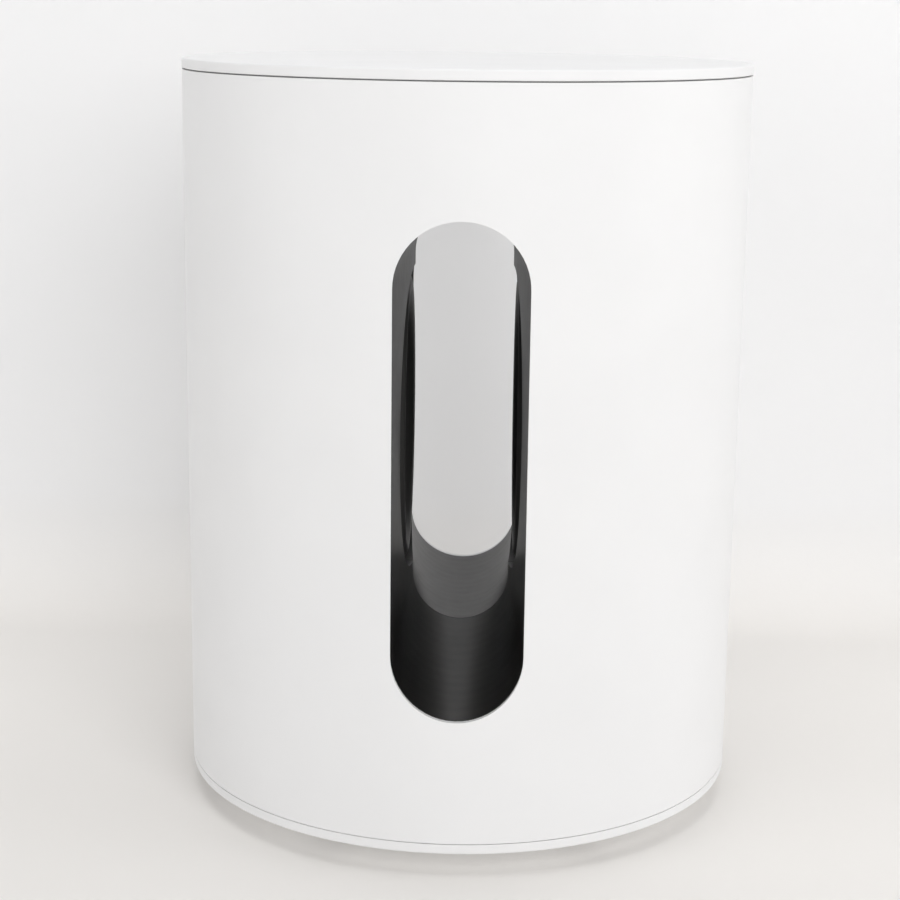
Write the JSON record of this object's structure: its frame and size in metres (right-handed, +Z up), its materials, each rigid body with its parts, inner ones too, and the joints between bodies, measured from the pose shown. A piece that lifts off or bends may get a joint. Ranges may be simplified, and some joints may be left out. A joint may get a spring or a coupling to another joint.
{
  "type": "subwoofer",
  "caption": "Round floor-standing subwoofer with a through tunnel, facing woofers that move in and out inside it, a recessed foot, rear button and underside sockets.",
  "frame": {"origin": "on the floor, under the middle of the round body", "axes": "+Z up, the front faces -Y, the tunnel runs along Y and the woofers move along X"},
  "size_m": [0.23, 0.23, 0.305],
  "materials": {
    "white_shell": "satin",
    "white_button": "satin",
    "foam_seal": "matte",
    "screw_steel": "satin",
    "pale_base": "matte",
    "foot_rubber": "matte",
    "black_liner": "satin",
    "plate_steel": "satin",
    "cast_frame": "satin",
    "surround_rubber": "matte",
    "cone_black": "matte",
    "former_aluminium": "satin",
    "copper": "satin",
    "spider_cloth": "matte",
    "zinc_steel": "satin",
    "ferrite": "matte",
    "tin_brass": "satin",
    "circuit_board": "satin",
    "components": "satin",
    "sink_aluminium": "satin",
    "socket_black": "satin",
    "clear_lens": "gloss",
    "antenna_board": "satin",
    "cable_black": "satin",
    "wadding_white": "matte"
  },
  "bodies": {
    "cabinet": {"cabinet_shell": "white_shell", "top_cap": "white_shell", "top_cap_seal": "foam_seal", "bottom_cap": "white_shell", "bottom_cap_seal": "foam_seal", "bottom_cap_screws": "screw_steel", "plinth": "pale_base", "plinth_screws": "screw_steel", "foot_ring": "foot_rubber", "tunnel_front": "black_liner", "tunnel_rear": "black_liner", "tunnel_joint_seal": "foam_seal", "tunnel_screws": "screw_steel", "tunnel_mouth_seals": "foam_seal", "left_baffle": "plate_steel", "right_baffle": "plate_steel", "baffle_screws": "screw_steel", "left_frame_gasket": "foam_seal", "left_frame": "cast_frame", "left_surround": "surround_rubber", "left_spider": "spider_cloth", "left_top_plate": "zinc_steel", "left_magnet": "ferrite", "left_yoke": "zinc_steel", "left_terminals": "tin_brass", "left_lead_wires": "copper", "right_frame_gasket": "foam_seal", "right_frame": "cast_frame", "right_surround": "surround_rubber", "right_spider": "spider_cloth", "right_top_plate": "zinc_steel", "right_magnet": "ferrite", "right_yoke": "zinc_steel", "right_terminals": "tin_brass", "right_lead_wires": "copper", "frame_screws": "screw_steel", "power_board": "circuit_board", "power_components": "components", "amplifier_board": "circuit_board", "amplifier_components": "components", "heat_sink": "sink_aluminium", "board_screws": "screw_steel", "mains_inlet": "socket_black", "network_socket": "socket_black", "button_board": "circuit_board", "status_light": "clear_lens", "radio_board": "circuit_board", "antennas": "antenna_board", "antenna_cables": "cable_black", "speaker_cables": "cable_black", "wadding": "wadding_white"},
    "left_diaphragm": {"left_cone": "cone_black", "left_dust_cap": "cone_black", "left_coil_former": "former_aluminium", "left_voice_coil": "copper"},
    "right_diaphragm": {"right_cone": "cone_black", "right_dust_cap": "cone_black", "right_coil_former": "former_aluminium", "right_voice_coil": "copper"},
    "button": {"join_button": "white_button"}
  },
  "joints": [
    {"name": "left_woofer_travel", "type": "slide", "parent": "cabinet", "child": "left_diaphragm", "axis": [-1, 0, 0], "range_m": [-0.007, 0.007], "stiffness_N_per_m": 3000, "deforming": ["left_surround", "left_spider", "left_lead_wires"]},
    {"name": "right_woofer_travel", "type": "slide", "parent": "cabinet", "child": "right_diaphragm", "axis": [1, 0, 0], "range_m": [-0.007, 0.007], "stiffness_N_per_m": 3000, "deforming": ["right_surround", "right_spider", "right_lead_wires"]},
    {"name": "join_button_press", "type": "slide", "parent": "cabinet", "child": "button", "axis": [0, -1, 0], "range_m": [0, 0.001], "stiffness_N_per_m": 800}
  ],
  "couplings": [
    {"joint": "right_woofer_travel", "follows": "left_woofer_travel", "ratio": 1}
  ]
}
